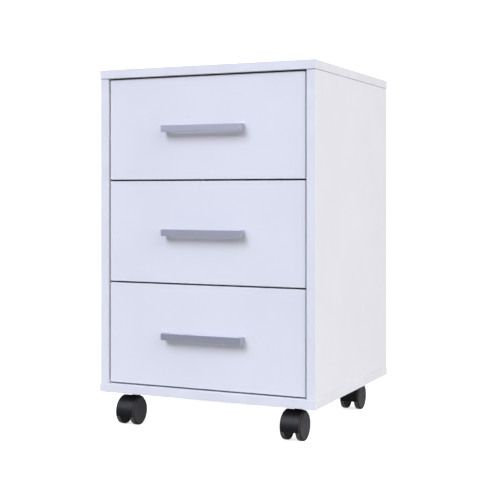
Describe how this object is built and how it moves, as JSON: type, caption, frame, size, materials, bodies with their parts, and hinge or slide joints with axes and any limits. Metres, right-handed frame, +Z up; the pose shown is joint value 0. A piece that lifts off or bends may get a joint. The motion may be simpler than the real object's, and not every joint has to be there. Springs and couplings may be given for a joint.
{
  "type": "rolling pedestal cabinet",
  "caption": "White board pedestal cabinet with full-width inset drawers on telescopic slides, flat bar handles and swivelling hooded twin-wheel casters.",
  "frame": {"origin": "on the floor, at the middle of the object's plan with its handles", "axes": "+Z up, the drawers open towards -Y, +X to the right seen from the front"},
  "size_m": [0.42, 0.4098, 0.645],
  "materials": {
    "white_board": "white melamine-faced particle board, fine matt",
    "white_hardboard": "white-faced thin hardboard",
    "satin_metal": "satin silver",
    "zinc_steel": "bright zinc-plated sheet",
    "black_nylon": "black moulded nylon, satin",
    "black_tread": "black moulded nylon, matt tread"
  },
  "bodies": {
    "cabinet": {"back_panel": "white_hardboard", "bottom_panel": "white_board", "front_left_caster_plate": "zinc_steel", "front_right_caster_plate": "zinc_steel", "left_side_panel": "white_board", "lower_left_slide_cabinet_rail": "zinc_steel", "lower_right_slide_cabinet_rail": "zinc_steel", "middle_left_slide_cabinet_rail": "zinc_steel", "middle_right_slide_cabinet_rail": "zinc_steel", "rear_left_caster_plate": "zinc_steel", "rear_right_caster_plate": "zinc_steel", "right_side_panel": "white_board", "top_panel": "white_board", "upper_left_slide_cabinet_rail": "zinc_steel", "upper_right_slide_cabinet_rail": "zinc_steel"},
    "lower_drawer": {"lower_drawer_back": "white_board", "lower_drawer_bottom": "white_hardboard", "lower_drawer_front": "white_board", "lower_drawer_handle": "satin_metal", "lower_drawer_left_side": "white_board", "lower_drawer_right_side": "white_board", "lower_left_slide_drawer_rail": "zinc_steel", "lower_right_slide_drawer_rail": "zinc_steel"},
    "lower_drawer_runner": {"lower_left_slide_middle_rail": "zinc_steel", "lower_right_slide_middle_rail": "zinc_steel"},
    "middle_drawer": {"middle_drawer_back": "white_board", "middle_drawer_bottom": "white_hardboard", "middle_drawer_front": "white_board", "middle_drawer_handle": "satin_metal", "middle_drawer_left_side": "white_board", "middle_drawer_right_side": "white_board", "middle_left_slide_drawer_rail": "zinc_steel", "middle_right_slide_drawer_rail": "zinc_steel"},
    "middle_drawer_runner": {"middle_left_slide_middle_rail": "zinc_steel", "middle_right_slide_middle_rail": "zinc_steel"},
    "upper_drawer": {"upper_drawer_back": "white_board", "upper_drawer_bottom": "white_hardboard", "upper_drawer_front": "white_board", "upper_drawer_handle": "satin_metal", "upper_drawer_left_side": "white_board", "upper_drawer_right_side": "white_board", "upper_left_slide_drawer_rail": "zinc_steel", "upper_right_slide_drawer_rail": "zinc_steel"},
    "upper_drawer_runner": {"upper_left_slide_middle_rail": "zinc_steel", "upper_right_slide_middle_rail": "zinc_steel"},
    "front_left_caster_hood_body": {"front_left_caster_hood": "black_nylon"},
    "front_left_caster_left_wheel_body": {"front_left_caster_left_wheel": "black_tread"},
    "front_left_caster_right_wheel_body": {"front_left_caster_right_wheel": "black_tread"},
    "front_right_caster_hood_body": {"front_right_caster_hood": "black_nylon"},
    "front_right_caster_left_wheel_body": {"front_right_caster_left_wheel": "black_tread"},
    "front_right_caster_right_wheel_body": {"front_right_caster_right_wheel": "black_tread"},
    "rear_left_caster_hood_body": {"rear_left_caster_hood": "black_nylon"},
    "rear_left_caster_left_wheel_body": {"rear_left_caster_left_wheel": "black_tread"},
    "rear_left_caster_right_wheel_body": {"rear_left_caster_right_wheel": "black_tread"},
    "rear_right_caster_hood_body": {"rear_right_caster_hood": "black_nylon"},
    "rear_right_caster_left_wheel_body": {"rear_right_caster_left_wheel": "black_tread"},
    "rear_right_caster_right_wheel_body": {"rear_right_caster_right_wheel": "black_tread"}
  },
  "joints": [
    {"name": "lower_drawer_slide", "type": "slide", "parent": "cabinet", "child": "lower_drawer", "axis": [0, -1, 0], "range_m": [0, 0.35]},
    {"name": "lower_runner_slide", "type": "slide", "parent": "cabinet", "child": "lower_drawer_runner", "axis": [0, -1, 0], "range_m": [0, 0.175]},
    {"name": "middle_drawer_slide", "type": "slide", "parent": "cabinet", "child": "middle_drawer", "axis": [0, -1, 0], "range_m": [0, 0.35]},
    {"name": "middle_runner_slide", "type": "slide", "parent": "cabinet", "child": "middle_drawer_runner", "axis": [0, -1, 0], "range_m": [0, 0.175]},
    {"name": "upper_drawer_slide", "type": "slide", "parent": "cabinet", "child": "upper_drawer", "axis": [0, -1, 0], "range_m": [0, 0.35]},
    {"name": "upper_runner_slide", "type": "slide", "parent": "cabinet", "child": "upper_drawer_runner", "axis": [0, -1, 0], "range_m": [0, 0.175]},
    {"name": "front_left_caster_swivel", "type": "hinge", "parent": "cabinet", "child": "front_left_caster_hood_body", "pos_m": [-0.161, -0.1456, 0.025], "axis": [0, 0, 1], "continuous": true},
    {"name": "front_left_caster_left_wheel_spin", "type": "hinge", "parent": "front_left_caster_hood_body", "child": "front_left_caster_left_wheel_body", "pos_m": [-0.161, -0.1631, 0.025], "axis": [1, 0, 0], "continuous": true},
    {"name": "front_left_caster_right_wheel_spin", "type": "hinge", "parent": "front_left_caster_hood_body", "child": "front_left_caster_right_wheel_body", "pos_m": [-0.161, -0.1631, 0.025], "axis": [1, 0, 0], "continuous": true},
    {"name": "front_right_caster_swivel", "type": "hinge", "parent": "cabinet", "child": "front_right_caster_hood_body", "pos_m": [0.161, -0.1456, 0.025], "axis": [0, 0, 1], "continuous": true},
    {"name": "front_right_caster_left_wheel_spin", "type": "hinge", "parent": "front_right_caster_hood_body", "child": "front_right_caster_left_wheel_body", "pos_m": [0.161, -0.1631, 0.025], "axis": [1, 0, 0], "continuous": true},
    {"name": "front_right_caster_right_wheel_spin", "type": "hinge", "parent": "front_right_caster_hood_body", "child": "front_right_caster_right_wheel_body", "pos_m": [0.161, -0.1631, 0.025], "axis": [1, 0, 0], "continuous": true},
    {"name": "rear_left_caster_swivel", "type": "hinge", "parent": "cabinet", "child": "rear_left_caster_hood_body", "pos_m": [-0.161, 0.1574, 0.025], "axis": [0, 0, 1], "continuous": true},
    {"name": "rear_left_caster_left_wheel_spin", "type": "hinge", "parent": "rear_left_caster_hood_body", "child": "rear_left_caster_left_wheel_body", "pos_m": [-0.161, 0.1399, 0.025], "axis": [1, 0, 0], "continuous": true},
    {"name": "rear_left_caster_right_wheel_spin", "type": "hinge", "parent": "rear_left_caster_hood_body", "child": "rear_left_caster_right_wheel_body", "pos_m": [-0.161, 0.1399, 0.025], "axis": [1, 0, 0], "continuous": true},
    {"name": "rear_right_caster_swivel", "type": "hinge", "parent": "cabinet", "child": "rear_right_caster_hood_body", "pos_m": [0.161, 0.1574, 0.025], "axis": [0, 0, 1], "continuous": true},
    {"name": "rear_right_caster_left_wheel_spin", "type": "hinge", "parent": "rear_right_caster_hood_body", "child": "rear_right_caster_left_wheel_body", "pos_m": [0.161, 0.1399, 0.025], "axis": [1, 0, 0], "continuous": true},
    {"name": "rear_right_caster_right_wheel_spin", "type": "hinge", "parent": "rear_right_caster_hood_body", "child": "rear_right_caster_right_wheel_body", "pos_m": [0.161, 0.1399, 0.025], "axis": [1, 0, 0], "continuous": true}
  ],
  "couplings": [
    {"joint": "lower_runner_slide", "follows": "lower_drawer_slide", "ratio": 0.5},
    {"joint": "middle_runner_slide", "follows": "middle_drawer_slide", "ratio": 0.5},
    {"joint": "upper_runner_slide", "follows": "upper_drawer_slide", "ratio": 0.5}
  ]
}
